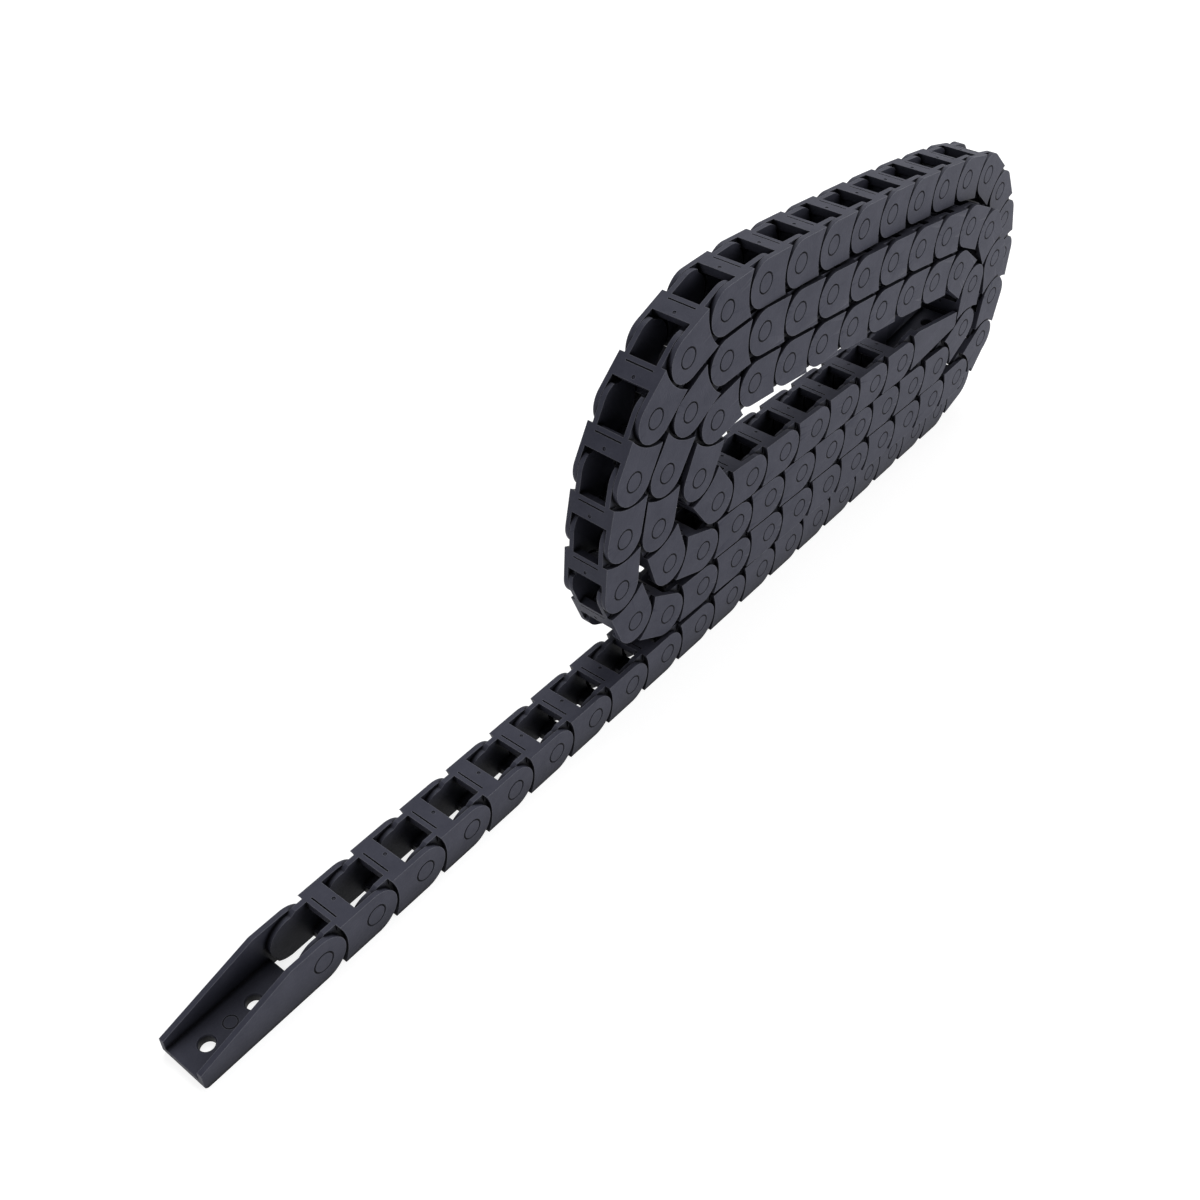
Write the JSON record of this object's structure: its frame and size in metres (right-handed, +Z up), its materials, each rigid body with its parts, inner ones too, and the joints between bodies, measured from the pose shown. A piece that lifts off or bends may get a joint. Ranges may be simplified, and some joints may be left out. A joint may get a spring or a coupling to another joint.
{
  "type": "cable drag chain",
  "caption": "Coiled plastic cable drag chain of snap-together links with a screw-down bracket at each end, made to guide moving cables and hoses.",
  "frame": {"origin": "centre of the outer end bracket's two screw holes, on the face it is screwed down on", "axes": "+X along the straight floor run from the outer bracket towards the coil, +Z up, +Y across the chain towards its far side"},
  "size_m": [0.3347, 0.0191, 0.1062],
  "materials": {
    "black_nylon": "moulded matte black nylon with a fine grain and slightly shinier edges"
  },
  "bodies": {
    "coil": {"outer_top_link_1": "black_nylon", "outer_top_link_2": "black_nylon", "outer_top_link_3": "black_nylon", "outer_top_link_4": "black_nylon", "outer_top_link_5": "black_nylon", "outer_top_link_6": "black_nylon", "outer_top_link_7": "black_nylon", "outer_left_link_1": "black_nylon", "outer_left_link_2": "black_nylon", "outer_left_link_3": "black_nylon", "outer_left_link_4": "black_nylon", "outer_left_link_5": "black_nylon", "outer_left_link_6": "black_nylon", "outer_left_link_7": "black_nylon", "outer_left_link_8": "black_nylon", "second_row_links": "black_nylon", "second_turn_links": "black_nylon", "second_top_links": "black_nylon", "second_left_links": "black_nylon", "third_row_links": "black_nylon", "third_turn_link_1": "black_nylon", "third_turn_link_2": "black_nylon", "third_turn_link_3": "black_nylon", "third_top_links": "black_nylon", "third_left_links": "black_nylon", "fourth_row_link_1": "black_nylon", "fourth_row_link_2": "black_nylon", "fourth_row_link_3": "black_nylon", "fourth_row_link_4": "black_nylon", "fourth_row_link_5": "black_nylon"},
    "outer_turn_link_8": {"outer_turn_link_8": "black_nylon"},
    "outer_turn_link_7": {"outer_turn_link_7": "black_nylon"},
    "outer_turn_link_6": {"outer_turn_link_6": "black_nylon"},
    "outer_turn_link_5": {"outer_turn_link_5": "black_nylon"},
    "outer_turn_link_4": {"outer_turn_link_4": "black_nylon"},
    "outer_turn_link_3": {"outer_turn_link_3": "black_nylon"},
    "outer_turn_link_2": {"outer_turn_link_2": "black_nylon"},
    "outer_turn_link_1": {"outer_turn_link_1": "black_nylon"},
    "floor_run": {"floor_run_link_1": "black_nylon", "floor_run_link_2": "black_nylon", "floor_run_link_3": "black_nylon", "floor_run_link_4": "black_nylon", "floor_run_link_5": "black_nylon", "floor_run_link_6": "black_nylon", "floor_run_link_7": "black_nylon", "floor_run_link_8": "black_nylon", "floor_run_link_9": "black_nylon", "floor_run_link_10": "black_nylon", "floor_run_link_11": "black_nylon", "floor_run_link_12": "black_nylon", "floor_run_link_13": "black_nylon"},
    "tail_link_5": {"tail_link_5": "black_nylon"},
    "tail_link_4": {"tail_link_4": "black_nylon"},
    "tail_link_3": {"tail_link_3": "black_nylon"},
    "tail_link_2": {"tail_link_2": "black_nylon"},
    "tail_link_1": {"tail_link_1": "black_nylon"},
    "outer_end_bracket": {"outer_end_bracket": "black_nylon"},
    "inner_end_bracket": {"inner_end_bracket": "black_nylon"}
  },
  "joints": [
    {"name": "outer_turn_hinge_9", "type": "hinge", "parent": "coil", "child": "outer_turn_link_8", "pos_m": [0.27504, 0, 0.09018], "axis": [0, 1, 0], "range_deg": [-5, 0]},
    {"name": "outer_turn_hinge_8", "type": "hinge", "parent": "outer_turn_link_8", "child": "outer_turn_link_7", "pos_m": [0.28965, 0, 0.08681], "axis": [0, 1, 0], "range_deg": [-24, 0]},
    {"name": "outer_turn_hinge_7", "type": "hinge", "parent": "outer_turn_link_7", "child": "outer_turn_link_6", "pos_m": [0.30163, 0, 0.07778], "axis": [0, 1, 0], "range_deg": [-17, 0]},
    {"name": "outer_turn_hinge_6", "type": "hinge", "parent": "outer_turn_link_6", "child": "outer_turn_link_5", "pos_m": [0.31045, 0, 0.06565], "axis": [0, 1, 0], "range_deg": [-14, 0]},
    {"name": "outer_turn_hinge_5", "type": "hinge", "parent": "outer_turn_link_5", "child": "outer_turn_link_4", "pos_m": [0.31607, 0, 0.05174], "axis": [0, 1, 0], "range_deg": [-20, 0]},
    {"name": "outer_turn_hinge_4", "type": "hinge", "parent": "outer_turn_link_4", "child": "outer_turn_link_3", "pos_m": [0.31659, 0, 0.03675], "axis": [0, 1, 0], "range_deg": [-12, 0]},
    {"name": "outer_turn_hinge_3", "type": "hinge", "parent": "outer_turn_link_3", "child": "outer_turn_link_2", "pos_m": [0.31399, 0, 0.02198], "axis": [0, 1, 0], "range_deg": [-30, 0]},
    {"name": "outer_turn_hinge_2", "type": "hinge", "parent": "outer_turn_link_2", "child": "outer_turn_link_1", "pos_m": [0.30434, 0, 0.01049], "axis": [0, 1, 0], "range_deg": [-33, 0]},
    {"name": "outer_turn_hinge_1", "type": "hinge", "parent": "outer_turn_link_1", "child": "floor_run", "pos_m": [0.29, 0, 0.0061], "axis": [0, 1, 0], "range_deg": [-17, 0]},
    {"name": "tail_hinge_6", "type": "hinge", "parent": "floor_run", "child": "tail_link_5", "pos_m": [0.095, 0, 0.0061], "axis": [0, -1, 0], "range_deg": [-60, 0]},
    {"name": "tail_hinge_5", "type": "hinge", "parent": "tail_link_5", "child": "tail_link_4", "pos_m": [0.08, 0, 0.0061], "axis": [0, 1, 0], "range_deg": [0, 60]},
    {"name": "tail_hinge_4", "type": "hinge", "parent": "tail_link_4", "child": "tail_link_3", "pos_m": [0.065, 0, 0.0061], "axis": [0, -1, 0], "range_deg": [-60, 0]},
    {"name": "tail_hinge_3", "type": "hinge", "parent": "tail_link_3", "child": "tail_link_2", "pos_m": [0.05, 0, 0.0061], "axis": [0, 1, 0], "range_deg": [0, 60]},
    {"name": "tail_hinge_2", "type": "hinge", "parent": "tail_link_2", "child": "tail_link_1", "pos_m": [0.035, 0, 0.0061], "axis": [0, -1, 0], "range_deg": [-60, 0]},
    {"name": "tail_hinge_1", "type": "hinge", "parent": "tail_link_1", "child": "outer_end_bracket", "pos_m": [0.02, 0, 0.0061], "axis": [0, 1, 0], "range_deg": [0, 60]},
    {"name": "inner_bracket_hinge", "type": "hinge", "parent": "coil", "child": "inner_end_bracket", "pos_m": [0.24853, -0.00265, 0.04442], "axis": [-0.0314, -0.9995, 0], "range_deg": [0, 8]}
  ]
}
